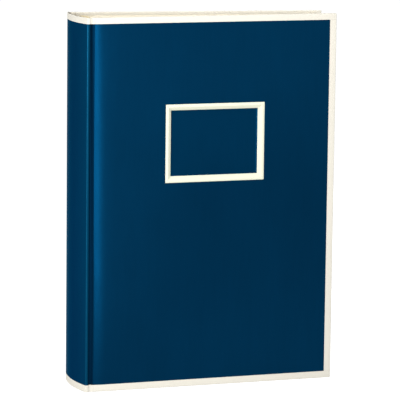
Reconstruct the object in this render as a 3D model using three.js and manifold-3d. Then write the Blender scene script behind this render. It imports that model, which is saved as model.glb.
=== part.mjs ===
// Case-bound scrapbook album standing upright on its tail edge.
// Frame: millimetres, +Z up the spine, +X from spine to fore-edge, front cover towards -Y.
// The origin is on the resting plane, under the middle of the album.
import * as THREE from 'three';
import { mergeVertices } from 'three/addons/utils/BufferGeometryUtils.js';
import Module from 'manifold-3d';

const wasm = await Module();
wasm.setup();

// Driving dimensions of the case
const HEIGHT = 336.6;
const COVER_WIDTH = 235.4;
const SPINE_WIDTH = 64;
const SPINE_BULGE = 4.4;
const BACK_COVER_TAPER = THREE.MathUtils.degToRad(6.65);
const BOARD_THICKNESS = 3.2;
const SKIN = 0.4;
const GAP = 0.1;

// Cream edging that wraps the edges of the case
const HEAD_EDGING = 5.6;
const TAIL_EDGING = 6.3;
const FORE_EDGING = 6.4;

// Joint grooves beside the spine
const SPINE_LIP = 2.1;
const GROOVE_WIDTH = 4.9;
const GROOVE_DEPTH = 2;
const HINGE_PROUD = 0.1;
const FACE_SET = 0.15;

// Spine shell
const SPINE_INLAY = 1.1;
const SPINE_FACETS = 16;

// Label window in the front cover
const LABEL_X = 71;
const LABEL_Z = 187.1;
const LABEL_WIDTH = 93.9;
const LABEL_HEIGHT = 70.8;
const LABEL_RIM = 2.6;
const LABEL_BAR = 5.5;
const LABEL_CARD = 0.35;

// Bound block of guards and hinged leaves
const SECTION_COUNT = 7;
const LEAVES_PER_SECTION = 4;
const FLYLEAF_COUNT = 2;
const BLOCK_SPINE_X = 4.5;
const BLOCK_CREASE_X = 14.6;
const BLOCK_FRONT_Y = -27.45;
const BLOCK_BACK_Y = 26;
const CREASE_X = 15;
const CREASE_CLEARANCE = 0.3;
const LEAF_THICKNESS = 0.5;
const LEAF_LENGTH = 216;
const LEAF_PITCH_AT_FORE_EDGE = 0.93;
const SQUARE = 3;
const SECTION_GAP = 0.12;

// Spine lining and the bands at its two ends
const LINING_THICKNESS = 0.5;
const LINING_INSET = 20;
const BAND_INSET = 1;
const BAND_HEIGHT = 5;
const BAND_PROUD = 1.5;
const BAND_THICKNESS = 1.6;

const INNER_PAPER_SET = FACE_SET + SKIN + GAP + BOARD_THICKNESS + GAP;
const COVER_DEPTH = INNER_PAPER_SET + SKIN;
const COVER_REACH = COVER_WIDTH - SPINE_LIP;
const BLOCK_HEAD = HEIGHT - SQUARE;
const MIDDLE_X = (COVER_WIDTH - SPINE_BULGE) / 2;

const navyCloth = { color: 0x01345a, roughness: 0.55, metalness: 0 };
const creamPaper = { color: 0xf7f0dc, roughness: 0.8, metalness: 0 };
const creamLeaf = { color: 0xf4ecd4, roughness: 0.9, metalness: 0 };
const greyBoard = { color: 0xa59d8d, roughness: 0.95, metalness: 0 };
const guardCard = { color: 0xe9dfc4, roughness: 0.9, metalness: 0 };
const liningCloth = { color: 0xd9d2bf, roughness: 0.95, metalness: 0 };
const bandCloth = { color: 0xfbf6e6, roughness: 0.7, metalness: 0 };

function toManifold(geometry) {
  const plain = geometry.clone();
  plain.deleteAttribute('normal');
  plain.deleteAttribute('uv');
  const welded = mergeVertices(plain, 1e-5);
  const vertProperties = new Float32Array(welded.attributes.position.array);
  const triVerts = new Uint32Array(welded.index.array);
  return new wasm.Manifold(new wasm.Mesh({ numProp: 3, vertProperties, triVerts }));
}

function fromManifold(solid) {
  const result = solid.getMesh();
  const geometry = new THREE.BufferGeometry();
  geometry.setAttribute('position', new THREE.Float32BufferAttribute(result.vertProperties, 3));
  geometry.setIndex(Array.from(result.triVerts));
  geometry.computeVertexNormals();
  return geometry;
}

function cut(body, ...tools) {
  let solid = toManifold(body);
  for (const tool of tools) {
    solid = solid.subtract(toManifold(tool));
  }
  return fromManifold(solid);
}

function piece(name, geometry, finish) {
  const mesh = new THREE.Mesh(geometry, new THREE.MeshStandardMaterial(finish));
  mesh.name = name;
  return mesh;
}

function group(name, ...children) {
  const holder = new THREE.Group();
  holder.name = name;
  holder.add(...children);
  return holder;
}

function slab(x0, x1, y0, y1, z0, z1) {
  const geometry = new THREE.BoxGeometry(x1 - x0, y1 - y0, z1 - z0);
  geometry.translate((x0 + x1) / 2, (y0 + y1) / 2, (z0 + z1) / 2);
  return geometry;
}

// A slab inside a cover, measured inwards from the hinge plane of that cover.
function coverSlab(side, x0, x1, depth0, depth1, z0, z1) {
  const y0 = Math.min(-side * depth0, -side * depth1);
  const y1 = Math.max(-side * depth0, -side * depth1);
  return slab(x0, x1, y0, y1, z0, z1);
}

function prism(points, z0, z1) {
  const geometry = new THREE.ExtrudeGeometry(new THREE.Shape(points), {
    depth: z1 - z0,
    bevelEnabled: false,
  });
  geometry.translate(0, 0, z0);
  return geometry;
}

// Curved band that follows the rounded back of the spine, run past the ridges when it is a cutter.
function spineBand(inset0, inset1, z0, z1, runOut = 0) {
  const half = SPINE_WIDTH / 2;
  const radius = (half * half + SPINE_BULGE * SPINE_BULGE) / (2 * SPINE_BULGE);
  const backX = (y) => radius - SPINE_BULGE - Math.sqrt(radius * radius - y * y);
  const outer = [];
  const inner = [];
  for (let i = -runOut; i <= SPINE_FACETS + runOut; i += 1) {
    const y = -half + (SPINE_WIDTH * i) / SPINE_FACETS;
    outer.push(new THREE.Vector2(backX(y) + inset0, y));
    inner.unshift(new THREE.Vector2(backX(y) + inset1, y));
  }
  return prism([...outer, ...inner], z0, z1);
}

function makeSpine() {
  const inlaySet = SKIN + GAP;
  const innerSet = inlaySet + SPINE_INLAY + GAP;
  const slot0 = SKIN;
  const slot1 = innerSet;
  const over = 1;
  const inlay = spineBand(inlaySet, inlaySet + SPINE_INLAY, SKIN + GAP, HEIGHT - SKIN - GAP);
  const cloth = spineBand(0, SKIN, TAIL_EDGING + GAP, HEIGHT - HEAD_EDGING - GAP);
  const headTrim = cut(
    spineBand(0, SPINE_LIP, HEIGHT - HEAD_EDGING, HEIGHT),
    spineBand(slot0, slot1, HEIGHT - HEAD_EDGING - over, HEIGHT - SKIN, 1),
  );
  const tailTrim = cut(
    spineBand(0, SPINE_LIP, 0, TAIL_EDGING),
    spineBand(slot0, slot1, SKIN, TAIL_EDGING + over, 1),
  );
  return [
    piece('spine_inlay', inlay, greyBoard),
    piece('spine_cloth', cloth, navyCloth),
    piece('spine_head_trim', headTrim, creamPaper),
    piece('spine_tail_trim', tailTrim, creamPaper),
  ];
}

// Flexible strip of covering that dips into the groove between spine and board.
function makeJointCloth(side) {
  const x0 = SPINE_LIP + 0.2;
  const x1 = SPINE_LIP + GROOVE_WIDTH - 0.3;
  const steps = 8;
  const outer = [];
  const inner = [];
  for (let i = 0; i <= steps; i += 1) {
    const t = i / steps;
    const x = x0 + (x1 - x0) * t;
    const dip = 0.2 + GROOVE_DEPTH * Math.sin(Math.PI * t);
    outer.push(new THREE.Vector2(x, side * (SPINE_WIDTH / 2 - dip)));
    inner.unshift(new THREE.Vector2(x, side * (SPINE_WIDTH / 2 - dip - SKIN)));
  }
  const outline = [...outer, ...inner];
  return prism(outline, SKIN, HEIGHT - SKIN);
}

function makeGuardSections() {
  const sections = [];
  const pitch = (BLOCK_BACK_Y - BLOCK_FRONT_Y) / SECTION_COUNT;
  for (let i = 0; i < SECTION_COUNT; i += 1) {
    const y0 = BLOCK_FRONT_Y + i * pitch + SECTION_GAP / 2;
    const y1 = y0 + pitch - SECTION_GAP;
    const geometry = slab(BLOCK_SPINE_X, BLOCK_CREASE_X, y0, y1, SQUARE, BLOCK_HEAD);
    sections.push(piece(`guard_section_${i + 1}`, geometry, guardCard));
  }
  return sections;
}

function makeSpineLining() {
  const x1 = BLOCK_SPINE_X - GAP;
  const x0 = x1 - LINING_THICKNESS;
  const y0 = BLOCK_FRONT_Y + BAND_INSET;
  const y1 = BLOCK_BACK_Y - BAND_INSET;
  const lining = slab(x0, x1, y0, y1, LINING_INSET, HEIGHT - LINING_INSET);
  return piece('spine_lining', lining, liningCloth);
}

// Strip of textile band glued over the back of the block at its head or tail.
function makeBand(name, z0, z1) {
  const x1 = BLOCK_SPINE_X - GAP;
  const x0 = x1 - BAND_THICKNESS;
  const y0 = BLOCK_FRONT_Y + BAND_INSET;
  const y1 = BLOCK_BACK_Y - BAND_INSET;
  return piece(name, slab(x0, x1, y0, y1, z0, z1), bandCloth);
}

function makeLabelFrame(side) {
  const back = INNER_PAPER_SET - LABEL_CARD - 2 * GAP;
  const depth = back - FACE_SET;
  const x0 = LABEL_X + GAP;
  const x1 = LABEL_X + LABEL_WIDTH - GAP;
  const z0 = LABEL_Z + GAP;
  const z1 = LABEL_Z + LABEL_HEIGHT - GAP;
  const rim = coverSlab(side, x0, x1, FACE_SET, back, z0, z1);
  const margin = 0.5;
  const slope = (LABEL_BAR - LABEL_RIM) / depth;
  const opening = new THREE.BoxGeometry(1, 1, 1);
  const position = opening.attributes.position;
  for (let i = 0; i < position.count; i += 1) {
    const isInner = position.getY(i) > 0;
    const reach = isInner ? depth + margin : -margin;
    const bar = LABEL_RIM + slope * reach;
    const halfX = (x1 - x0) / 2 - bar;
    const halfZ = (z1 - z0) / 2 - bar;
    const x = (x0 + x1) / 2 + Math.sign(position.getX(i)) * halfX;
    const z = (z0 + z1) / 2 + Math.sign(position.getZ(i)) * halfZ;
    position.setXYZ(i, x, FACE_SET + reach, z);
  }
  return piece('label_frame', cut(rim, opening), creamPaper);
}

function makeLabelPanel(side) {
  const depth1 = INNER_PAPER_SET - GAP;
  const depth0 = depth1 - LABEL_CARD;
  const x0 = LABEL_X + GAP;
  const x1 = LABEL_X + LABEL_WIDTH - GAP;
  const z0 = LABEL_Z + GAP;
  const z1 = LABEL_Z + LABEL_HEIGHT - GAP;
  return piece('label_panel', coverSlab(side, x0, x1, depth0, depth1, z0, z1), navyCloth);
}

// U-shaped paper wrap round one edge of a cover board.
function makeEdging(name, side, x0, x1, z0, z1, slot) {
  const wrap = coverSlab(side, x0, x1, FACE_SET, COVER_DEPTH, z0, z1);
  const slotDepth0 = FACE_SET + SKIN;
  const hollow = coverSlab(side, slot.x0, slot.x1, slotDepth0, INNER_PAPER_SET, slot.z0, slot.z1);
  return piece(name, cut(wrap, hollow), creamPaper);
}

function makeCover(label, side, taper, hasLabel) {
  const x0 = GROOVE_WIDTH;
  const x1 = COVER_REACH;
  const over = 1;
  const faceX1 = x1 - FORE_EDGING - GAP;
  const faceZ0 = TAIL_EDGING + GAP;
  const faceZ1 = HEIGHT - HEAD_EDGING - GAP;
  const boardSet = FACE_SET + SKIN + GAP;
  const boardZ0 = SKIN + GAP;
  const boardZ1 = HEIGHT - SKIN - GAP;

  let board = coverSlab(
    side, x0, x1 - SKIN - GAP, boardSet, boardSet + BOARD_THICKNESS, boardZ0, boardZ1,
  );
  let cloth = coverSlab(side, x0, faceX1, FACE_SET, FACE_SET + SKIN, faceZ0, faceZ1);
  const pastedown = coverSlab(side, x0, faceX1, INNER_PAPER_SET, COVER_DEPTH, faceZ0, faceZ1);
  const extras = [];
  if (hasLabel) {
    const window = coverSlab(
      side, LABEL_X, LABEL_X + LABEL_WIDTH, -over, COVER_DEPTH + over,
      LABEL_Z, LABEL_Z + LABEL_HEIGHT,
    );
    board = cut(board, window);
    cloth = cut(cloth, window);
    extras.push(makeLabelFrame(side), makeLabelPanel(side));
  }

  const headSlot = { x0: x0 - over, x1: x1 - SKIN, z0: HEIGHT - HEAD_EDGING - over, z1: HEIGHT - SKIN };
  const tailSlot = { x0: x0 - over, x1: x1 - SKIN, z0: SKIN, z1: TAIL_EDGING + over };
  const foreSlot = { x0: x1 - FORE_EDGING - over, x1: x1 - SKIN, z0: 0, z1: HEIGHT };
  const headTrim = makeEdging(
    `${label}_head_trim`, side, x0, x1, HEIGHT - HEAD_EDGING, HEIGHT, headSlot,
  );
  const tailTrim = makeEdging(`${label}_tail_trim`, side, x0, x1, 0, TAIL_EDGING, tailSlot);
  const foreTrim = makeEdging(
    `${label}_fore_edge_trim`, side, x1 - FORE_EDGING, x1, faceZ0, faceZ1, foreSlot,
  );

  const cover = group(
    `${label}_cover_group`,
    piece(`${label}_board`, board, greyBoard),
    piece(`${label}_cover_cloth`, cloth, navyCloth),
    piece(`${label}_pastedown`, pastedown, creamPaper),
    headTrim,
    tailTrim,
    foreTrim,
    ...extras,
  );
  cover.position.set(SPINE_LIP, side * (SPINE_WIDTH / 2 + HINGE_PROUD), 0);
  cover.rotation.z = -taper;
  return cover;
}

// Leaves hang from their creases, and close up towards the fore-edge because the guards are thicker.
function makeLeaves() {
  const leafCount = SECTION_COUNT * LEAVES_PER_SECTION;
  const total = leafCount + FLYLEAF_COUNT;
  const creasePitch = (BLOCK_BACK_Y - BLOCK_FRONT_Y) / total;
  const leaves = [];
  for (let i = 0; i < total; i += 1) {
    const creaseY = BLOCK_FRONT_Y + (i + 0.5) * creasePitch;
    const closing = i * (creasePitch - LEAF_PITCH_AT_FORE_EDGE);
    let name = `leaf_${String(i).padStart(2, '0')}`;
    if (i === 0) {
      name = 'front_flyleaf';
    }
    if (i === total - 1) {
      name = 'back_flyleaf';
    }
    const half = LEAF_THICKNESS / 2;
    const sheet = slab(CREASE_CLEARANCE, LEAF_LENGTH, -half, half, SQUARE, BLOCK_HEAD);
    const leaf = piece(name, sheet, creamLeaf);
    leaf.position.set(CREASE_X, creaseY, 0);
    leaf.rotation.z = -Math.asin(closing / LEAF_LENGTH);
    leaves.push(leaf);
  }
  return leaves;
}

const album = group(
  'scrapbook_album',
  ...makeSpine(),
  piece('front_joint_cloth', makeJointCloth(-1), navyCloth),
  piece('back_joint_cloth', makeJointCloth(1), navyCloth),
  makeSpineLining(),
  makeBand('tail_band', SQUARE - BAND_PROUD, SQUARE - BAND_PROUD + BAND_HEIGHT),
  makeBand('head_band', BLOCK_HEAD + BAND_PROUD - BAND_HEIGHT, BLOCK_HEAD + BAND_PROUD),
  ...makeGuardSections(),
  makeCover('front', -1, 0, true),
  makeCover('back', 1, BACK_COVER_TAPER, false),
  ...makeLeaves(),
);

album.position.x = -MIDDLE_X;

export default album;
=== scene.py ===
import math

import bmesh
import bpy
from mathutils import Matrix, Vector, noise


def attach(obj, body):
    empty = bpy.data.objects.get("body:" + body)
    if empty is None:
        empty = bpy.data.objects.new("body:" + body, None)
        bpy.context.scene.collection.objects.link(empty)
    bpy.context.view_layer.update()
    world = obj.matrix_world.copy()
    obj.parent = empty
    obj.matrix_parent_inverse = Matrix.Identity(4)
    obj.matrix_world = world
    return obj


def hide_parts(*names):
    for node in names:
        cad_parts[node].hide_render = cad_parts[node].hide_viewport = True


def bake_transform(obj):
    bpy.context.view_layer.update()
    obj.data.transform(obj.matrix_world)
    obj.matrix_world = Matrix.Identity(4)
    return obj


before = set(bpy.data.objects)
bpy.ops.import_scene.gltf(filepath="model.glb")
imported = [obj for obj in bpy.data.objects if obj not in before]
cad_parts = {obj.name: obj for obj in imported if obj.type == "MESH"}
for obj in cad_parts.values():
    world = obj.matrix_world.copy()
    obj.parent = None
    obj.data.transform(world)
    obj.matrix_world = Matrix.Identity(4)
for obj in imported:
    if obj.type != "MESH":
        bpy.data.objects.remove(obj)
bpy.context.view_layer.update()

MM = 0.001

# The case, in millimetres, with the same dimensions as the CAD model
HEIGHT = 336.6
COVER_WIDTH = 235.4
SPINE_WIDTH = 64
SPINE_BULGE = 4.4
BACK_COVER_TAPER = math.radians(6.65)
SKIN = 0.4
HEAD_EDGING = 5.6
TAIL_EDGING = 6.3
FORE_EDGING = 6.4
SPINE_LIP = 2.1
GROOVE_WIDTH = 4.9
HINGE_PROUD = 0.1
FACE_SET = 0.15
INNER_PAPER_SET = 3.95
COVER_DEPTH = 4.35
COVER_REACH = COVER_WIDTH - SPINE_LIP
MIDDLE_X = (COVER_WIDTH - SPINE_BULGE) / 2
HALF_SPINE = SPINE_WIDTH / 2
HINGE_Y = HALF_SPINE + HINGE_PROUD
SEAM = 0.05
CLEARANCE = 0.1

# Spine: rounded back, ridges, lips beside the grooves, card and the paper caps over its ends
SPINE_RADIUS = (HALF_SPINE ** 2 + SPINE_BULGE ** 2) / (2 * SPINE_BULGE)
RIDGE_RADIUS = 1.1
RIDGE_START = math.radians(55)
LIP_DROP = 0.7
CAP_LIP_DROP = 0.35
CAP_SIDE_SET = 0.7
CAP_TURN_IN = 1.1
CAP_RIM = 0.6
CAP_SEAM_RIM = 0.05
CARD_SET = 0.3
CARD_SIDE_SET = 1
CARD_HEAD_SET = 0.7
CARD_RIM = 0.2
ARC_STEPS = 40

# Covers: shoulder beside the groove, flat part, edging and turn-ins
SHOULDER_WIDTH = 26
SHOULDER_STEPS = 28
FLAT_START = 28
SWELL = 0.035
SWELL_SCALE = 0.03
SWELL_START = 30
INNER_PAPER_START = 0.2
INNER_PAPER_SWELL = 0.06
EDGE_RADIUS = 0.8
PAPER_PROUD = 0.1
PAPER_FOLLOW = 0.5
TAB_SET = 0.6
TAB_RADIUS = 0.6

# Label window; the crest rounds the frame's face into its bevel, as offsets (across, down)
LABEL_X = 71
LABEL_Z = 187.1
LABEL_WIDTH = 93.9
LABEL_HEIGHT = 70.8
LABEL_RIM = 2.6
LABEL_BAR = 5.6
LABEL_PROUD = 0.35
LABEL_EDGE_RADIUS = 0.25
LABEL_CREST = [(-0.3, 0), (-0.05, 0.04), (0.15, 0.2)]
LABEL_MITRE_GAP = 0.04
LABEL_FOOT_SET = 2.7
LABEL_PANEL_SET = 3.5
LABEL_PANEL_CARD = 0.35
LABEL_COVE = 1.5

# Block of guards and leaves
SECTION_COUNT = 7
LEAF_TOTAL = 30
BLOCK_SPINE_X = 4.5
BLOCK_CREASE_X = 14.6
BLOCK_FRONT_Y = -27.45
BLOCK_BACK_Y = 26
CREASE_X = 15
SQUARE = 3

# Guard sections: bundles of folded strips whose heads slope down towards the spine.
# A strip fills its share of the pitch and falls short of the full block by varying amounts.
STRIPS_PER_SECTION = 8
STRIP_SHARE = (0.08, 0.92)
STRIP_FOLD = 0.42
STRIP_RIM = 0.08
STRIP_VARIATION = 1.7
STRIP_BACK_SHORT = 0.5
STRIP_HEAD_SHORT = 0.9
STRIP_TAIL_SHORT = 0.6
SLOPE_END_X = 9
SLOPE_STEP = 1.5
SLOPE_FALL = 7
SLOPE_POWER = 0.8

# Leaves, from the crease at their root to the fore-edge. The rounding gives the share of the
# crease's thickness before each distance from the crease line.
LEAF_THICKNESS = 0.74
CREASE_THICKNESS = 0.46
LEAF_LENGTH = 216
LEAF_PITCH_AT_FORE_EDGE = 0.93
LEAF_ROOT = [-0.3, -0.2, 0, 0.4, 6]
ROOT_ROUNDING = [(-0.25, 0.35), (-0.1, 0.75)]
CREASE_END = 0.5
LEAF_FLAT_START = 20
LEAF_VARIATION = 1.3
LEAF_HEAD_SHORT = 0.8
LEAF_TAIL_SHORT = 0.5
LEAF_FORE_SHORT = 1.6
LEAF_BOW = 0.14
LEAF_BOW_SCALE = 0.011
LEAF_BOW_START = 60

# Lining cloth and corded bands on the back of the block
LINING_OUTER_X = 4.05
LINING_INNER_X = 4.4
LINING_INSET = 20
LINING_DIP = 0.16
BLOCK_SIDE_SET = 1
BAND_HEIGHT = 5
BAND_RIBS = 44
BAND_STEPS_PER_RIB = 4
BAND_OUTER_X = 3.95
BAND_INNER_X = 4.4
CORD_X = 3.6
CORD_RADIUS = 0.72
CORD_RIB = 0.08
CORD_SET = 0.8
CORD_BACK = 0.75
HEAD_BAND_SET = 3
TAIL_BAND_PROUD = 1.5

# Where a highlight is painted along the crests of the spine's two ridges, in metres
HIGHLIGHT_FROM_Y = (HALF_SPINE - 0.95) * MM
HIGHLIGHT_TO_X = (1.0 - MIDDLE_X) * MM
HIGHLIGHT_SOFT = 0.5 * MM

# Section of the covering from the hinge line, across the groove and on to the board: (x, depth)
GROOVE_PROFILE = [
    (-1, 0.5), (0, 0.8), (0.3, 1.35), (0.7, 2.25), (1.1, 2.9), (1.7, 3.3), (2.4, 3.35),
    (3.1, 3.1), (3.65, 2.65), (4.15, 2.1), (4.6, 1.78), (5.2, 1.59), (6, 1.42), (7, 1.215),
    (8, 1.0), (9, 0.825), (10, 0.685), (11, 0.57), (12, 0.475), (14, 0.345), (16, 0.27),
    (20, 0.2), (26, 0.15), (30, 0.15),
]

# How far that section is shifted along the cover at each height, (z, shift), and the stretch
# of the section over which the shift comes in and fades out again
GROOVE_DRIFT = [(0, 0.3), (60, 0.8), (150, 0.1), (235, -0.5), (290, -1.2), (336, -2.2)]
DRIFT_START = 0.5
DRIFT_RISE = 3.5
DRIFT_END = 26
DRIFT_FALL = 18

# Studio: (name, azimuth, elevation, distance, aim, watts, width, height), in degrees and metres
LIGHTS = [
    ("overhead_box", -14, 64, 0.78, (0.04, 0, 0.33), 7.6, 0.5, 0.5),
    ("strip_box", -5, 0, 0.45, (-0.1, 0, 0.202), 1.59, 0.1, 0.395),
    ("front_card", 17, 2, 0.42, (0.01, 0, 0.33), 0.36, 0.5, 0.34),
    ("back_fill", 140, 30, 1.2, (0, 0, 0.17), 9.0, 0.6, 0.5),
    ("left_fill", -104, 8, 1.2, (-0.1, 0, 0.2), 3.6, 0.6, 0.5),
    ("side_box", -62, 8, 1.2, (-0.1, 0, 0.2), 11.0, 0.8, 0.5),
]
WORLD_STRENGTH = 0.42
FLOOR_HALF = 14
FLOOR_Z = -0.0002
FLOOR_GLOW = 0.92

# Camera: where it stands and what it looks at, in degrees and metres
CAMERA_AZIMUTH = -19.04
CAMERA_ELEVATION = 8.744
CAMERA_ROLL = 0.665
CAMERA_DISTANCE = 2.575
CAMERA_AIM = (0.0018, 0, 0.1654)
CAMERA_SENSOR_MM = 36
CAMERA_LENS_MM = 254.15
CAMERA_FAR = 60


# ---------------------------------------------------------------- shapes

def spline(points, x):
    """Height at x of a smooth curve through points, level beyond both ends."""
    if x <= points[0][0]:
        return points[0][1]
    if x >= points[-1][0]:
        return points[-1][1]
    i = max(k for k in range(len(points) - 1) if points[k][0] <= x)
    x0, y0 = points[i]
    x1, y1 = points[i + 1]

    def slope(k):
        if k <= 0 or k >= len(points) - 1:
            return 0
        left = (points[k][1] - points[k - 1][1]) / (points[k][0] - points[k - 1][0])
        right = (points[k + 1][1] - points[k][1]) / (points[k + 1][0] - points[k][0])
        if left * right <= 0:
            return 0
        return 2 * left * right / (left + right)

    width = x1 - x0
    t = (x - x0) / width
    return (
        (2 * t ** 3 - 3 * t ** 2 + 1) * y0
        + (t ** 3 - 2 * t ** 2 + t) * width * slope(i)
        + (-2 * t ** 3 + 3 * t ** 2) * y1
        + (t ** 3 - t ** 2) * width * slope(i + 1)
    )


def ease(value):
    """Smooth step from 0 to 1 while value goes from 0 to 1."""
    t = min(1, max(0, value))
    return t * t * (3 - 2 * t)


def cloth_depth(x, z):
    """Depth of the covering; the groove is pressed wider towards the tail than at the head."""
    drift = (
        spline(GROOVE_DRIFT, z) * ease((x - DRIFT_START) / DRIFT_RISE)
        * ease((DRIFT_END - x) / DRIFT_FALL)
    )
    return spline(GROOVE_PROFILE, x - drift)


def paper_depth(x, z):
    """Depth of the edging, which lies over the covering and softens its groove."""
    return FACE_SET - PAPER_PROUD + PAPER_FOLLOW * (cloth_depth(x, z) - FACE_SET)


def steps(a, b, count):
    """Evenly spaced values from a to b, both included."""
    return [a + (b - a) * i / count for i in range(count + 1)]


def in_case(x, y, z):
    """A point measured from the front ridge of the spine, in the row frame."""
    return (x - MIDDLE_X, y, z)


def in_cover(side):
    """Maps (distance from the hinge, depth under its plane, height) of a cover to the row frame."""
    taper = BACK_COVER_TAPER if side > 0 else 0

    def place(x, depth, z):
        y = -side * depth
        return (
            SPINE_LIP - MIDDLE_X + x * math.cos(taper) + y * math.sin(taper),
            side * HINGE_Y - x * math.sin(taper) + y * math.cos(taper),
            z,
        )

    return place


def plate(xs, zs, outer, inner, hole=None):
    """Closed sheet over a grid, between two depths, with an optional rectangular hole."""
    verts, faces, index = [], [], {}

    def kept(i, j):
        if not (0 <= i < len(xs) - 1 and 0 <= j < len(zs) - 1):
            return False
        x, z = (xs[i] + xs[i + 1]) / 2, (zs[j] + zs[j + 1]) / 2
        return hole is None or not (hole[0] < x < hole[1] and hole[2] < z < hole[3])

    def vert(i, j, is_inner):
        key = (i, j, is_inner)
        if key not in index:
            index[key] = len(verts)
            depth = inner if is_inner else outer
            verts.append((xs[i], depth(xs[i], zs[j]), zs[j]))
        return index[key]

    def wall(a, b):
        faces.append((vert(*a, False), vert(*b, False), vert(*b, True), vert(*a, True)))

    for i in range(len(xs) - 1):
        for j in range(len(zs) - 1):
            if not kept(i, j):
                continue
            ring = [(i, j), (i + 1, j), (i + 1, j + 1), (i, j + 1)]
            faces.append([vert(a, b, False) for a, b in ring])
            faces.append([vert(a, b, True) for a, b in reversed(ring)])
            for k, (di, dj) in enumerate(((0, -1), (1, 0), (0, 1), (-1, 0))):
                if not kept(i + di, j + dj):
                    wall(ring[k], ring[(k + 1) % 4])
    return verts, faces


def inset(outline, amount):
    """The outline moved inwards; its points run counter-clockwise."""
    moved = []
    for i, (x, y) in enumerate(outline):
        before = Vector((x, y)) - Vector(outline[i - 1])
        after = Vector(outline[(i + 1) % len(outline)]) - Vector((x, y))
        normals = [Vector((-e.y, e.x)).normalized() for e in (before, after)]
        middle = (normals[0] + normals[1]).normalized()
        reach = amount / max(0.35, middle.dot(normals[0]))
        moved.append((x + middle.x * reach, y + middle.y * reach))
    return moved


def rounded_prism(outline, z0, z1, rim0, rim1, place, rounds=4):
    """Closed upright prism with rounded lower and upper rims."""
    following = outline[1:] + outline[:1]
    area = sum(a[0] * b[1] - b[0] * a[1] for a, b in zip(outline, following))
    if area < 0:
        outline = outline[::-1]
    quarter = [math.pi / 2 * k / rounds for k in range(rounds + 1)]
    levels = [(z0 + rim0 * (1 - math.cos(t)), rim0 * (1 - math.sin(t))) for t in quarter]
    levels += [(z1 - rim1 * (1 - math.sin(t)), rim1 * (1 - math.cos(t))) for t in quarter]
    verts, faces = [], []
    count = len(outline)
    for z, amount in levels:
        ring = inset(outline, amount) if amount > 1e-6 else outline
        verts.extend(place(x, y, z) for x, y in ring)
    for level in range(len(levels) - 1):
        for i in range(count):
            a = level * count + i
            b = level * count + (i + 1) % count
            faces.append((a, b, b + count, a + count))
    faces.append(tuple(range(count))[::-1])
    faces.append(tuple(range((len(levels) - 1) * count, len(levels) * count)))
    return verts, faces


def edge_wrap(runs, face, back, reach, radius, closed, place, rounds=5):
    """Sheet folded in a U over an edge. runs are stations along it, reach is the depth of the U.

    face(run) and back are the depths of its two sides. With closed, the last end is capped.
    """
    tightest = 0.02
    quarter = [math.pi / 2 * k / rounds for k in range(rounds + 1)]

    def section(run, end_inset, sheet):
        shrink = end_inset + sheet
        d0, d1, top = face(run) + shrink, back - shrink, reach - shrink
        bend = max(radius - shrink, tightest)
        points = [(d0, 0), (d0, (top - bend) * 0.5)]
        for t in quarter:
            points.append((d0 + bend * (1 - math.cos(t)), top - bend * (1 - math.sin(t))))
        for t in quarter:
            points.append((d1 - bend * (1 - math.sin(t)), top - bend * (1 - math.cos(t))))
        points += [(d1, (top - bend) * 0.5), (d1, 0)]
        return points

    def rings(sheet):
        end = runs[-1] - (sheet if closed else 0)
        bend = max(radius - sheet, tightest)
        stations = [(min(run, end), 0) for run in runs]
        if closed:
            stations = [(run, 0) for run in runs if run < end - bend - 0.5]
            for t in quarter:
                stations.append((end - bend * (1 - math.sin(t)), bend * (1 - math.cos(t))))
        made = []
        for run, end_inset in stations:
            made.append([place(run, d, h) for d, h in section(run, end_inset, sheet)])
        return made

    outer, inner = rings(0), rings(SKIN)
    verts, faces = [], []
    width = len(outer[0])
    count = len(outer)
    for made in (outer, inner):
        for ring in made:
            verts.extend(ring)
    first = count * width

    def grid(base):
        for s in range(count - 1):
            for k in range(width - 1):
                a = base + s * width + k
                faces.append((a, a + 1, a + 1 + width, a + width))

    grid(0)
    grid(first)
    for s in range(count - 1):
        for k in (0, width - 1):
            a = s * width + k
            faces.append((a, a + width, first + a + width, first + a))
    ends = [0] if closed else [0, (count - 1) * width]
    for base in ends:
        for k in range(width - 1):
            a = base + k
            faces.append((a, a + 1, first + a + 1, first + a))
    if closed:
        last = (count - 1) * width
        faces.append(tuple(range(last, last + width)))
        faces.append(tuple(range(first + last, first + last + width)))
        faces.append((last, last + width - 1, first + last + width - 1, first + last))
    return verts, faces


def sweep(sections):
    """Closed solid through a list of closed sections with the same number of points."""
    verts = [p for ring in sections for p in ring]
    count = len(sections[0])
    faces = []
    for s in range(len(sections) - 1):
        for k in range(count):
            a, b = s * count + k, s * count + (k + 1) % count
            faces.append((a, b, b + count, a + count))
    faces.append(tuple(range(count)))
    faces.append(tuple(range((len(sections) - 1) * count, len(sections) * count)))
    return verts, faces


def joined(parts):
    """Several shapes as one."""
    verts, faces = [], []
    for part_verts, part_faces in parts:
        base = len(verts)
        verts.extend(part_verts)
        faces.extend(tuple(base + k for k in face) for face in part_faces)
    return verts, faces


def mapped(shape, place):
    """The shape with place applied to each of its points."""
    verts, faces = shape
    return [place(*v) for v in verts], faces


def add_piece(name, shape, material, body=None, replaces=(), sharp=35):
    """Makes an object of a shape in millimetres; edges sharper than sharp degrees stay crisp."""
    verts, faces = shape
    mesh = bpy.data.meshes.new(name)
    mesh.from_pydata([(x * MM, y * MM, z * MM) for x, y, z in verts], [], faces)
    work = bmesh.new()
    work.from_mesh(mesh)
    bmesh.ops.remove_doubles(work, verts=work.verts, dist=1e-7)
    bmesh.ops.recalc_face_normals(work, faces=work.faces)
    work.to_mesh(mesh)
    work.free()
    mesh.shade_smooth()
    mesh.set_sharp_from_angle(angle=math.radians(sharp))
    mesh.materials.append(material)
    piece = bpy.data.objects.new(name, mesh)
    bpy.context.scene.collection.objects.link(piece)
    if body:
        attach(piece, body)
    if replaces:
        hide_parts(*replaces)
    return piece


def wander(amount, scale, *seed):
    """Small smooth deviation that depends only on its seed values."""
    return amount * noise.noise(Vector(seed + (0,) * (3 - len(seed))) * scale)


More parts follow.
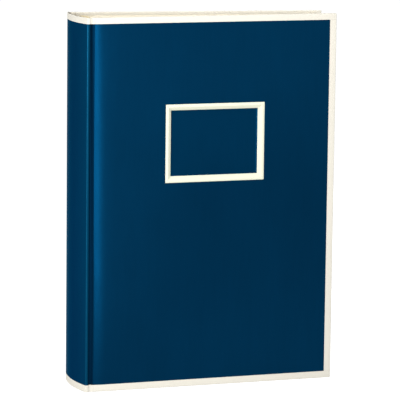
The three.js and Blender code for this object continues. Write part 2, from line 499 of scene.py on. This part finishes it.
# ---------------------------------------------------------------- materials

class Shader:
    """A principled material and short calls for the nodes that feed it."""

    def __init__(self, name, roughness, **constants):
        self.material = bpy.data.materials.new(name)
        self.material.use_nodes = True
        self.tree = self.material.node_tree
        self.shader = self.tree.nodes["Principled BSDF"]
        self.shader.inputs["Roughness"].default_value = roughness
        for socket, value in constants.items():
            self.shader.inputs[socket.replace("_", " ")].default_value = value
        self.place = self.add("ShaderNodeTexCoord").outputs["Object"]

    def add(self, kind, **settings):
        node = self.tree.nodes.new(kind)
        for key, value in settings.items():
            setattr(node, key, value)
        return node

    def link(self, source, target):
        self.tree.links.new(source, target)

    def feed(self, target, value):
        if hasattr(value, "is_output"):
            self.link(value, target)
        else:
            target.default_value = value

    def math(self, operation, a, b=0.0, c=0.0, clamp=False):
        node = self.add("ShaderNodeMath", operation=operation, use_clamp=clamp)
        for k, value in enumerate((a, b, c)):
            self.feed(node.inputs[k], value)
        return node.outputs[0]

    def noise(self, scale, detail=2.0, stretch=(1, 1, 1), roughness=0.5):
        mapping = self.add("ShaderNodeMapping")
        self.link(self.place, mapping.inputs["Vector"])
        mapping.inputs["Scale"].default_value = stretch
        node = self.add("ShaderNodeTexNoise")
        self.link(mapping.outputs[0], node.inputs["Vector"])
        node.inputs["Scale"].default_value = scale
        node.inputs["Detail"].default_value = detail
        node.inputs["Roughness"].default_value = roughness
        return node.outputs["Fac"]

    def ramp(self, value, stops):
        node = self.add("ShaderNodeValToRGB")
        while len(node.color_ramp.elements) < len(stops):
            node.color_ramp.elements.new(0.5)
        for element, (position, colour) in zip(node.color_ramp.elements, stops):
            element.position = position
            element.color = (*colour, 1)
        self.link(value, node.inputs["Fac"])
        return node.outputs["Color"]

    def mix(self, factor, a, b, blend="MIX"):
        node = self.add("ShaderNodeMix", data_type="RGBA", blend_type=blend)
        self.feed(node.inputs[0], factor)
        colour_a, colour_b = node.inputs[6], node.inputs[7]
        for socket, value in ((colour_a, a), (colour_b, b)):
            if hasattr(value, "is_output"):
                self.link(value, socket)
            else:
                socket.default_value = (*value, 1)
        return node.outputs[2]

    def axes(self):
        node = self.add("ShaderNodeSeparateXYZ")
        self.link(self.place, node.inputs[0])
        return node.outputs

    def bump(self, height, distance, strength=1.0):
        node = self.add("ShaderNodeBump")
        self.link(height, node.inputs["Height"])
        node.inputs["Distance"].default_value = distance
        node.inputs["Strength"].default_value = strength
        previous = self.shader.inputs["Normal"].links
        if previous:
            self.link(previous[0].from_socket, node.inputs["Normal"])
        self.link(node.outputs["Normal"], self.shader.inputs["Normal"])

    def colour(self, source):
        self.link(source, self.shader.inputs["Base Color"])

    def roughness(self, source):
        self.link(source, self.shader.inputs["Roughness"])


def weave(shader, pitch):
    """Height of a plain weave whose threads run up and across every side of the case."""
    axes = shader.axes()
    across = shader.math("ADD", axes[0], axes[1])
    turns = 2 * math.pi / pitch
    warp = shader.math("SINE", shader.math("MULTIPLY", across, turns))
    weft = shader.math("SINE", shader.math("MULTIPLY", axes[2], turns))
    return shader.math("MULTIPLY", warp, weft)


def scaled(colour, factor):
    """The colour made lighter or darker, at most white."""
    return tuple(min(1, c * factor) for c in colour)


def painted_ridge_highlight(shader, base, ridge_highlight_colour):
    """Painted highlight: the cloth made paler along the crests of the spine's two ridges."""
    axes = shader.axes()
    side = shader.math("ABSOLUTE", axes[1])
    near_edge = shader.math(
        "MULTIPLY_ADD", side, 1 / HIGHLIGHT_SOFT, -HIGHLIGHT_FROM_Y / HIGHLIGHT_SOFT, clamp=True,
    )
    on_crest = shader.math(
        "MULTIPLY_ADD", axes[0], -1 / HIGHLIGHT_SOFT, HIGHLIGHT_TO_X / HIGHLIGHT_SOFT, clamp=True,
    )
    amount = shader.math("MULTIPLY", near_edge, on_crest)
    uneven = shader.math("MULTIPLY_ADD", shader.noise(scale=60, detail=3), 0.8, 0.5)
    # The painted highlight is stronger towards the head than at the tail.
    highlight_at_tail, highlight_more_at_head = 0.42, 0.6
    towards_head = shader.math(
        "MULTIPLY_ADD", axes[2], highlight_more_at_head / (HEIGHT * MM), highlight_at_tail,
    )
    highlight_strength = shader.math("MULTIPLY", uneven, towards_head)
    return shader.mix(shader.math("MULTIPLY", amount, highlight_strength, clamp=True), base, ridge_highlight_colour)


def bookcloth(name, colour, satin=0.65, grazing=(0.04, 0.26, 0.34), ridge_highlight_colour=None):
    """Starch-filled bookcloth: tight weave, satin face and faint cloudiness.

    satin is the share of the face that mirrors in the cloth's own colour, grazing its colour at
    a glancing angle, and the last argument the colour of a highlight painted along the ridge
    crests, if it has any.
    """
    shader = Shader(
        name, 0.3, Metallic=satin, Specular_IOR_Level=0.0, Specular_Tint=(*grazing, 1),
    )
    cloud = shader.noise(scale=14, detail=3, stretch=(1, 1, 0.55))
    slub = shader.noise(scale=420, detail=2, stretch=(1, 1, 0.08))
    base = shader.ramp(cloud, [(0.3, scaled(colour, 0.94)), (0.7, scaled(colour, 1.06))])
    threads = shader.ramp(slub, [(0.35, (0.93, 0.93, 0.93)), (0.65, (1, 1, 1))])
    cloth = shader.mix(0.6, base, threads, "MULTIPLY")
    if ridge_highlight_colour:
        cloth = painted_ridge_highlight(shader, cloth, ridge_highlight_colour)
    shader.colour(cloth)
    patches = shader.noise(scale=45, detail=3)
    smoothest, patch_range = 0.27, 0.08
    shader.roughness(shader.math("MULTIPLY_ADD", patches, patch_range, smoothest))
    shader.bump(weave(shader, pitch=0.0009), distance=0.00002, strength=0.5)
    shader.bump(slub, distance=0.00003, strength=0.4)
    return shader.material


def painted_light_at_leaf_ends(shader, base, edge):
    """Paper painted paler near the head and tail of the block: painted light over the shade between
    the leaves there.
    """
    height = shader.axes()[2]
    from_middle = shader.math("ABSOLUTE", shader.math("SUBTRACT", height, HEIGHT / 2 * MM))
    margin = 2.5
    start = (HEIGHT / 2 - SQUARE - margin) * MM
    amount = shader.math("MULTIPLY_ADD", from_middle, 1 / MM, -start / MM, clamp=True)
    return shader.mix(amount, base, edge)


def paper(name, colour, fibre=0.05, stain=0.03, bump=0.00003, edge=None):
    """Uncoated paper or card: fine fibres, a soft tooth and slight toning."""
    shader = Shader(name, 0.85, Specular_IOR_Level=0.15)
    toning = shader.noise(scale=22, detail=3)
    base = shader.ramp(toning, [(0.3, scaled(colour, 1 - stain)), (0.7, colour)])
    # edge is the colour of the paper with painted light near the head and tail.
    if edge:
        base = painted_light_at_leaf_ends(shader, base, edge)
    fibres = shader.noise(scale=900, detail=3, stretch=(1, 1, 0.25), roughness=0.65)
    shade = shader.ramp(fibres, [(0.3, (1 - fibre,) * 3), (0.7, (1, 1, 1))])
    shader.colour(shader.mix(0.7, base, shade, "MULTIPLY"))
    shader.bump(fibres, distance=bump, strength=0.6)
    shader.bump(toning, distance=0.0001, strength=0.3)
    return shader.material


def binders_board(name, colour):
    """Grey board: pressed fibres with dark and pale flecks."""
    shader = Shader(name, 0.92, Specular_IOR_Level=0.1)
    flecks = shader.noise(scale=1400, detail=4, roughness=0.7)
    shader.colour(shader.ramp(
        flecks, [(0.35, scaled(colour, 0.72)), (0.5, colour), (0.68, scaled(colour, 1.2))],
    ))
    shader.bump(flecks, distance=0.00008, strength=0.7)
    return shader.material


def woven_tape(name, colour, pitch, gaps):
    """Open cloth or tape with visible threads; gaps is how dark it is between them."""
    shader = Shader(name, 0.9, Specular_IOR_Level=0.1, Sheen_Weight=0.15, Sheen_Roughness=0.5)
    height = weave(shader, pitch)
    shader.colour(shader.ramp(height, [(0.25, scaled(colour, gaps)), (0.7, colour)]))
    shader.bump(height, distance=0.00012, strength=0.8)
    return shader.material


NAVY = bookcloth("navy_bookcloth", (0.0004, 0.0188, 0.0488))
# Spine cloth: a lighter copy of the cover cloth, painted light on the spine.
NAVY_SPINE_LIT = bookcloth(
    "navy_spine_cloth_painted_light", (0.0005, 0.0265, 0.0605), satin=0.4, grazing=(0.04, 0.3, 0.42),
    # colour of the highlight painted along the ridge crests
    ridge_highlight_colour=(0.004, 0.062, 0.125),
)
# Groove cloth: the cover cloth made darker and less glossy, as painted shade in the groove.
NAVY_GROOVE_SHADED = bookcloth("navy_groove_cloth_painted_shade", (0.0003, 0.0108, 0.03), satin=0.2)
NAVY_PANEL = bookcloth("navy_label_cloth", (0.0003, 0.0192, 0.0498))
CREAM = paper("cream_edging", (0.49, 0.468, 0.412))
# Back edging: a lighter copy of the cream edging, painted light on the back cover.
CREAM_LIT_BACK = paper("cream_back_edging_painted_light", (0.58, 0.555, 0.487))
FRAME_CREAM = paper("cream_label_frame", (0.485, 0.485, 0.385), fibre=0.03, stain=0.02)
LINING_PAPER = paper("cream_pastedown", (0.5, 0.47, 0.4), fibre=0.04)
# Leaves: the edge colour is painted light on the leaves near the head and tail.
LEAF = paper(
    "cream_leaf", (0.57, 0.535, 0.435), stain=0.04, bump=0.00004, edge=(0.74, 0.68, 0.545),
)
GUARD = paper("guard_card", (0.78, 0.68, 0.45), fibre=0.08, stain=0.06, bump=0.00005)
BOARD = binders_board("grey_board", (0.36, 0.33, 0.27))
KRAFT = binders_board("spine_card", (0.74, 0.56, 0.27))
MULL = woven_tape("lining_cloth", (0.72, 0.6, 0.37), pitch=0.0016, gaps=0.55)
BAND = woven_tape("band_cloth", (0.84, 0.79, 0.68), pitch=0.0011, gaps=0.8)


# ---------------------------------------------------------------- spine

def spine_arc(inset_by, half, count):
    """Points of the rounded back, from front to back, at some distance under its surface."""
    radius = SPINE_RADIUS - inset_by
    middle = SPINE_RADIUS - SPINE_BULGE
    return [(middle - math.sqrt(radius ** 2 - y ** 2), y) for y in steps(-half, half, count)]


def spine_path(inset_by, lip_end=SPINE_LIP, lip_drop=LIP_DROP):
    """The spine's outer line from the front groove, round both ridges, to the back groove.

    Each lip runs straight from the crest of its ridge and ends lip_drop inside the full width.
    """
    bend = RIDGE_RADIUS - inset_by
    middle = SPINE_RADIUS - SPINE_BULGE
    fillet_y = HALF_SPINE - RIDGE_RADIUS
    fillet_x = middle - math.sqrt((SPINE_RADIUS - RIDGE_RADIUS) ** 2 - fillet_y ** 2)
    turn = math.atan2(fillet_y, middle - fillet_x)
    crest_x = fillet_x - bend * math.cos(RIDGE_START)
    crest_y = -fillet_y - bend * math.sin(RIDGE_START)
    front = []
    for x in steps(lip_end, crest_x, 4)[:-1]:
        t = (x - crest_x) / (SPINE_LIP - crest_x)
        front.append((x, crest_y + (lip_drop - HALF_SPINE + inset_by - crest_y) * t))
    for t in steps(RIDGE_START, turn, 8):
        front.append((fillet_x - bend * math.cos(t), -fillet_y - bend * math.sin(t)))
    half = (SPINE_RADIUS - inset_by) * math.sin(turn)
    arc = spine_arc(inset_by, half, ARC_STEPS)[1:-1]
    back = [(x, -y) for x, y in reversed(front)]
    return front + arc + back


def make_spine():
    """Covering, card and end caps; at the head the card shows inside, under the turned-in paper."""
    z0, z1 = TAIL_EDGING, HEIGHT - HEAD_EDGING
    skin = spine_path(0) + spine_path(SKIN)[::-1]
    # The spine's covering uses the lighter copy of the cloth, with painted light.
    add_piece(
        "spine_covering", rounded_prism(skin, z0 + SEAM, z1 - SEAM, 0, 0, in_case),
        NAVY_SPINE_LIT, "spine", ["spine_cloth"],
    )
    card_set, card_half = SPINE_LIP - CARD_SET, HALF_SPINE - CARD_SIDE_SET
    inside = spine_arc(card_set, card_half, ARC_STEPS)[::-1]
    card = spine_path(SKIN + SEAM, card_set) + inside
    facing = spine_arc(CAP_TURN_IN + SEAM, card_half, ARC_STEPS) + inside
    add_piece(
        "spine_stiffener", joined([
            rounded_prism(card, z0 + SEAM, z1 - SEAM, 0, 0, in_case),
            rounded_prism(facing, z1, HEIGHT - CARD_HEAD_SET, 0, CARD_RIM, in_case),
        ]),
        KRAFT, "spine", ["spine_inlay"],
    )
    wrap = spine_path(-PAPER_PROUD, SPINE_LIP, CAP_LIP_DROP)
    wrap += spine_arc(CAP_TURN_IN, HALF_SPINE - CAP_SIDE_SET, ARC_STEPS)[::-1]
    add_piece(
        "spine_head_cap", rounded_prism(wrap, z1, HEIGHT, CAP_SEAM_RIM, CAP_RIM, in_case),
        CREAM, "spine", ["spine_head_trim"],
    )
    add_piece(
        "spine_tail_cap", rounded_prism(wrap, 0, z0, CAP_RIM, CAP_SEAM_RIM, in_case),
        CREAM, "spine", ["spine_tail_trim"],
    )


def make_joint(label, side):
    """Covering across the groove, and the paper that turns in over its two ends."""
    xs = steps(SEAM, GROOVE_WIDTH - SEAM, 30)
    z0, z1 = TAIL_EDGING, HEIGHT - HEAD_EDGING
    # The back joint's tabs use the lighter cream copy, with painted light.
    edging = CREAM_LIT_BACK if side > 0 else CREAM

    def across(x, depth, z):
        return (x + SPINE_LIP - MIDDLE_X, side * (HINGE_Y - depth), z)

    cloth = plate(
        xs, steps(z0 + SEAM, z1 - SEAM, 30),
        cloth_depth, lambda x, z: cloth_depth(x, z) + SKIN,
    )
    # The groove's covering uses the cloth darkened with painted shade.
    pieces = [add_piece(
        f"{label}_joint_strip", mapped(cloth, across), NAVY_GROOVE_SHADED, None,
        [f"{label}_joint_cloth"],
    )]
    for where, reach, seam_z, edge_z, up in (
        ("head", HEAD_EDGING, z1, HEIGHT, 1), ("tail", TAIL_EDGING, z0, 0, -1),
    ):
        tab = edge_wrap(
            xs, lambda x: paper_depth(x, edge_z), COVER_DEPTH - TAB_SET, reach, TAB_RADIUS, False,
            lambda x, d, h: across(x, d, seam_z + up * h),
        )
        pieces.append(add_piece(f"{label}_joint_{where}_tab", tab, edging, None))
    for piece in pieces:
        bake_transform(piece)


# ---------------------------------------------------------------- covers

def make_cover(label, side, has_label):
    """Covering, board, inner paper and edging of one cover; side is -1 in front and 1 behind."""
    place = in_cover(side)
    body = f"{label}_cover"
    # The back cover's edging uses the lighter cream copy, with painted light.
    edging = CREAM_LIT_BACK if side > 0 else CREAM
    x0, x1 = GROOVE_WIDTH, COVER_REACH
    face_x1 = x1 - FORE_EDGING
    z0, z1 = TAIL_EDGING, HEIGHT - HEAD_EDGING
    window = None
    if has_label:
        window = (LABEL_X, LABEL_X + LABEL_WIDTH, LABEL_Z, LABEL_Z + LABEL_HEIGHT)
    window_xs = window[:2] if window else ()
    window_zs = window[2:] if window else ()
    shoulder = [
        x0 + SHOULDER_WIDTH * (k / SHOULDER_STEPS) ** 1.5 for k in range(SHOULDER_STEPS + 1)
    ]

    def cloth_face(x, z):
        swell = wander(SWELL, SWELL_SCALE, x, z, side * 9.0)
        return cloth_depth(x, z) + swell * min(1, (x - x0) / SWELL_START)

    def face_xs(low, high):
        marks = [x for x in shoulder if low < x < high] + [low, high]
        return sorted(set(marks) | set(steps(x0 + FLAT_START, high, 24)) | set(window_xs))

    def face_zs(low, high, count):
        return sorted(set(steps(low, high, count)) | set(window_zs))

    cloth = plate(
        face_xs(x0, face_x1 - SEAM), face_zs(z0 + SEAM, z1 - SEAM, 36),
        cloth_face, lambda x, z: cloth_face(x, z) + SKIN, window,
    )
    add_piece(
        f"{label}_covering", mapped(cloth, place), NAVY, body,
        [f"{label}_cover_cloth"],
    )
    board = plate(
        face_xs(x0 + CLEARANCE, x1 - SKIN - CLEARANCE),
        face_zs(SKIN + CLEARANCE, HEIGHT - SKIN - CLEARANCE, 4),
        lambda x, z: max(cloth_depth(x, z), FACE_SET) + SKIN + CLEARANCE,
        lambda x, z: INNER_PAPER_SET - SEAM, window,
    )
    add_piece(
        f"{label}_stiff_board", mapped(board, place), BOARD, body,
        [f"{label}_board"],
    )
    inner_face = plate(
        steps(x0 + INNER_PAPER_START, face_x1 - SEAM, 20), steps(z0 + SEAM, z1 - SEAM, 24),
        lambda x, z: INNER_PAPER_SET,
        lambda x, z: COVER_DEPTH - SEAM + wander(INNER_PAPER_SWELL, 0.02, x, z, side * 4.0),
    )
    add_piece(
        f"{label}_inner_lining", mapped(inner_face, place), LINING_PAPER, body,
        [f"{label}_pastedown"],
    )

    runs = sorted(set(shoulder) | set(steps(x0 + FLAT_START, x1, 16)))
    wraps = {
        "head": edge_wrap(
            runs, lambda x: paper_depth(x, HEIGHT), COVER_DEPTH, HEAD_EDGING, EDGE_RADIUS, True,
            lambda x, d, h: place(x, d, z1 + h),
        ),
        "tail": edge_wrap(
            runs, lambda x: paper_depth(x, 0), COVER_DEPTH, TAIL_EDGING, EDGE_RADIUS, True,
            lambda x, d, h: place(x, d, z0 - h),
        ),
        "fore_edge": edge_wrap(
            steps(z0 + SEAM, z1 - SEAM, 16), lambda z: paper_depth(x1, z), COVER_DEPTH,
            FORE_EDGING, EDGE_RADIUS, False, lambda z, d, h: place(face_x1 + h, d, z),
        ),
    }
    for edge, shape in wraps.items():
        add_piece(
            f"{label}_{edge}_edging", shape, edging, body,
            [f"{label}_{edge}_trim"],
        )


def make_label():
    """Mitred card frame with a bevel down to the recessed cloth panel."""
    place = in_cover(-1)
    face = FACE_SET - LABEL_PROUD
    floor = LABEL_PANEL_SET - SEAM
    edge = LABEL_EDGE_RADIUS
    profile = [(0, floor), (0, face + edge), (edge * 0.3, face + edge * 0.3), (edge, face)]
    profile += [(LABEL_RIM + across, face + down) for across, down in LABEL_CREST]
    profile += [(LABEL_BAR, LABEL_FOOT_SET), (LABEL_BAR, floor)]
    x0, x1 = LABEL_X + CLEARANCE, LABEL_X + LABEL_WIDTH - CLEARANCE
    z0, z1 = LABEL_Z + CLEARANCE, LABEL_Z + LABEL_HEIGHT - CLEARANCE
    corners = [(x0, z0, 1, 1), (x1, z0, -1, 1), (x1, z1, -1, -1), (x0, z1, 1, -1)]
    bars = []
    for k in range(4):
        ends = []
        for x, z, sx, sz in (corners[k], corners[(k + 1) % 4]):
            along_x = k % 2 == 0
            pull_x = LABEL_MITRE_GAP * sx if along_x else 0
            pull_z = 0 if along_x else LABEL_MITRE_GAP * sz
            ends.append([(x + sx * w + pull_x, d, z + sz * w + pull_z) for w, d in profile])
        bars.append(sweep(ends))
    add_piece(
        "label_window_frame", mapped(joined(bars), place), FRAME_CREAM, "front_cover",
        ["label_frame"], 25,
    )

    def panel_face(x, z):
        """The panel rises in a cove to the foot of the frame's bevel."""
        reach = min(x - x0, x1 - x, z - z0, z1 - z) - LABEL_BAR
        cove = 0
        if reach > 0:
            rise = LABEL_PANEL_SET - LABEL_FOOT_SET - SEAM
            cove = rise * max(0, 1 - reach / LABEL_COVE) ** 2
        return LABEL_PANEL_SET + wander(0.03, 0.05, x, z, 2.0) - cove

    def panel_steps(low, high, count):
        margin = [0, LABEL_BAR - SEAM] + steps(LABEL_BAR + 0.02, LABEL_BAR + LABEL_COVE, 7)
        middle = steps(low + margin[-1], high - margin[-1], count)
        return [low + m for m in margin[:-1]] + middle + [high - m for m in margin[-2::-1]]

    panel = plate(
        panel_steps(x0, x1, 10), panel_steps(z0, z1, 8),
        panel_face, lambda x, z: LABEL_PANEL_SET + LABEL_PANEL_CARD,
    )
    add_piece(
        "label_window_panel", mapped(panel, place), NAVY_PANEL, "front_cover",
        ["label_panel"],
    )


# ---------------------------------------------------------------- block

def make_guards():
    """Each section is a bundle of folded card strips with slightly uneven edges."""
    pitch = (BLOCK_BACK_Y - BLOCK_FRONT_Y) / SECTION_COUNT
    slope_xs = [SLOPE_END_X, SLOPE_END_X - SLOPE_STEP]

    def sloped(x, y, z):
        fall = max(0, SLOPE_END_X - x) ** SLOPE_POWER * SLOPE_FALL
        return in_case(x, y, z - fall if z > HEIGHT / 2 else z)

    for s in range(SECTION_COUNT):
        parts = []
        for k in range(STRIPS_PER_SECTION):
            y0, y1 = (
                BLOCK_FRONT_Y + s * pitch + (k + share) * pitch / STRIPS_PER_SECTION
                for share in STRIP_SHARE
            )
            back = BLOCK_SPINE_X + abs(wander(STRIP_BACK_SHORT, STRIP_VARIATION, s, k, 1.0))
            head = HEIGHT - SQUARE - abs(wander(STRIP_HEAD_SHORT, STRIP_VARIATION, s, k, 2.0))
            tail = SQUARE + abs(wander(STRIP_TAIL_SHORT, STRIP_VARIATION, s, k, 3.0))
            bend = (y1 - y0) * STRIP_FOLD
            outline = [(BLOCK_CREASE_X, y0), (BLOCK_CREASE_X, y1)]
            outline += [(x, y1) for x in slope_xs] + [(back + bend, y1)]
            for t in steps(0, math.pi, 6)[1:-1]:
                outline.append((
                    back + bend * (1 - math.sin(t)),
                    (y0 + y1) / 2 + (y1 - y0) / 2 * math.cos(t),
                ))
            outline += [(back + bend, y0)] + [(x, y0) for x in reversed(slope_xs)]
            parts.append(rounded_prism(outline, tail, head, 0, STRIP_RIM, sloped, 2))
        name = f"guard_section_{s + 1}"
        add_piece(f"guard_bundle_{s + 1}", joined(parts), GUARD, "spine", [name])


def make_leaves():
    """Leaves that bow slightly and differ a little in size, thinner where they are creased."""
    pitch = (BLOCK_BACK_Y - BLOCK_FRONT_Y) / LEAF_TOTAL
    xs = LEAF_ROOT + steps(LEAF_FLAT_START, LEAF_LENGTH, 11)
    for i in range(LEAF_TOTAL):
        node = f"leaf_{i:02d}"
        if i == 0:
            node = "front_flyleaf"
        if i == LEAF_TOTAL - 1:
            node = "back_flyleaf"
        crease_y = BLOCK_FRONT_Y + (i + 0.5) * pitch
        angle = math.asin(i * (pitch - LEAF_PITCH_AT_FORE_EDGE) / LEAF_LENGTH)
        head = HEIGHT - SQUARE - abs(wander(LEAF_HEAD_SHORT, LEAF_VARIATION, i, 5.0))
        tail = SQUARE + abs(wander(LEAF_TAIL_SHORT, LEAF_VARIATION, i, 8.0))
        short = abs(wander(LEAF_FORE_SHORT, LEAF_VARIATION, i, 11.0))

        def bow(x, z):
            return wander(LEAF_BOW, LEAF_BOW_SCALE, x, z, i * 40.0) * min(1, x / LEAF_BOW_START)

        def half_at(x):
            if x > CREASE_END:
                return LEAF_THICKNESS / 2
            for limit, share in ROOT_ROUNDING:
                if x < limit:
                    return CREASE_THICKNESS / 2 * share
            return CREASE_THICKNESS / 2

        sheet = plate(
            [x - short * max(0, x - LEAF_FLAT_START) / LEAF_LENGTH for x in xs],
            steps(tail, head, 12),
            lambda x, z: bow(x, z) - half_at(x), lambda x, z: bow(x, z) + half_at(x),
        )

        def place(x, y, z):
            return in_case(
                CREASE_X + x * math.cos(angle) + y * math.sin(angle),
                crease_y - x * math.sin(angle) + y * math.cos(angle),
                z,
            )

        add_piece(f"page_{i:02d}", mapped(sheet, place), LEAF, node, [node])


def make_lining():
    """Open cloth glued over the backs of the sections, dipping between them."""
    pitch = (BLOCK_BACK_Y - BLOCK_FRONT_Y) / SECTION_COUNT
    y0, y1 = BLOCK_FRONT_Y + BLOCK_SIDE_SET, BLOCK_BACK_Y - BLOCK_SIDE_SET

    def relief(y, z):
        phase = (y - BLOCK_FRONT_Y) / pitch
        return LINING_DIP * abs(math.sin(math.pi * phase)) ** 0.6 + wander(0.1, 0.15, y, z, 6.0)

    sheet = plate(
        steps(y0, y1, 56), steps(LINING_INSET, HEIGHT - LINING_INSET, 50),
        lambda y, z: LINING_OUTER_X - relief(y, z), lambda y, z: LINING_INNER_X,
    )
    shape = mapped(sheet, lambda y, x, z: in_case(x, y, z))
    add_piece("spine_mull", shape, MULL, "spine", ["spine_lining"])


def make_band(label, edge_z, up):
    """Corded band: a rolled edge wound with thread, and its tape glued down the block."""
    y0, y1 = BLOCK_FRONT_Y + BLOCK_SIDE_SET, BLOCK_BACK_Y - BLOCK_SIDE_SET
    centre_z = edge_z - up * CORD_SET
    tape = [
        (BAND_INNER_X, edge_z - up * BAND_HEIGHT), (BAND_OUTER_X, edge_z - up * BAND_HEIGHT),
        (BAND_OUTER_X, centre_z - up * CORD_BACK),
    ]
    sections = []
    for k in range(BAND_RIBS * BAND_STEPS_PER_RIB + 1):
        y = y0 + (y1 - y0) * k / (BAND_RIBS * BAND_STEPS_PER_RIB)
        radius = CORD_RADIUS + CORD_RIB * abs(math.sin(math.pi * k / BAND_STEPS_PER_RIB))
        cord = [
            (CORD_X - radius * math.sin(t), centre_z - up * radius * math.cos(t))
            for t in steps(-0.35 * math.pi, 1.15 * math.pi, 9)
        ]
        ring = tape + cord + [(BAND_INNER_X, centre_z)]
        sections.append([in_case(x, y, z) for x, z in ring])
    add_piece(
        f"{label}_corded_band", sweep(sections), BAND, "spine", [f"{label}_band"],
    )


make_spine()
make_joint("front", -1)
make_joint("back", 1)
make_cover("front", -1, True)
make_cover("back", 1, False)
make_label()
make_guards()
make_leaves()
make_lining()
make_band("head", HEIGHT - SQUARE - HEAD_BAND_SET, 1)
make_band("tail", SQUARE - TAIL_BAND_PROUD, -1)


# ---------------------------------------------------------------- studio

def toward(azimuth, elevation):
    """Unit direction from the album; azimuth 0 is in front of the cover and turns towards +X."""
    a, e = math.radians(azimuth), math.radians(elevation)
    return Vector((math.sin(a) * math.cos(e), -math.cos(a) * math.cos(e), math.sin(e)))


def add_light(name, azimuth, elevation, distance, aim, watts, width, height):
    """Rectangular soft light that the camera doesn't see, turned to its aim."""
    data = bpy.data.lights.new(name, "AREA")
    data.energy = watts
    data.shape = "RECTANGLE"
    data.size = width
    data.size_y = height
    light = bpy.data.objects.new(name, data)
    direction = toward(azimuth, elevation)
    light.location = Vector(aim) + direction * distance
    light.rotation_mode = "QUATERNION"
    light.rotation_quaternion = direction.to_track_quat("Z", "Y")
    light.visible_camera = False
    bpy.context.scene.collection.objects.link(light)


def make_studio():
    """White surroundings, the soft lights and a pale floor."""
    scene = bpy.context.scene
    scene.view_settings.view_transform = "Standard"
    world = bpy.data.worlds.new("studio")
    world.use_nodes = True
    background = world.node_tree.nodes["Background"]
    background.inputs["Color"].default_value = (1, 1, 1, 1)
    background.inputs["Strength"].default_value = WORLD_STRENGTH
    scene.world = world

    for light in LIGHTS:
        add_light(*light)

    corners = [(-1, -1), (1, -1), (1, 1), (-1, 1)]
    mesh = bpy.data.meshes.new("floor")
    mesh.from_pydata(
        [(x * FLOOR_HALF, y * FLOOR_HALF, FLOOR_Z) for x, y in corners], [], [(0, 1, 2, 3)],
    )
    floor = bpy.data.objects.new("floor", mesh)
    shader = Shader(
        "studio_floor", 0.9, Specular_IOR_Level=0.0, Emission_Color=(1, 1, 1, 1),
        Emission_Strength=FLOOR_GLOW,
    )
    mottle = shader.noise(scale=3, detail=2)
    shader.colour(shader.ramp(mottle, [(0.3, (0.24, 0.24, 0.24)), (0.7, (0.26, 0.26, 0.26))]))
    mesh.materials.append(shader.material)
    scene.collection.objects.link(floor)


def make_camera():
    """Slightly left of the front cover and above it, through a long lens."""
    data = bpy.data.cameras.new("camera")
    data.sensor_width = CAMERA_SENSOR_MM
    data.lens = CAMERA_LENS_MM
    data.clip_end = CAMERA_FAR
    camera = bpy.data.objects.new("camera", data)
    back = toward(CAMERA_AZIMUTH, CAMERA_ELEVATION)
    right = Vector((0, 0, 1)).cross(back).normalized()
    up = back.cross(right)
    turn = math.radians(CAMERA_ROLL)
    rolled_right = right * math.cos(turn) + up * math.sin(turn)
    rolled_up = up * math.cos(turn) - right * math.sin(turn)
    frame_axes = Matrix((rolled_right, rolled_up, back)).transposed().to_4x4()
    position = Vector(CAMERA_AIM) + back * CAMERA_DISTANCE
    camera.matrix_world = Matrix.Translation(position) @ frame_axes
    bpy.context.scene.collection.objects.link(camera)
    bpy.context.scene.camera = camera


make_studio()
make_camera()
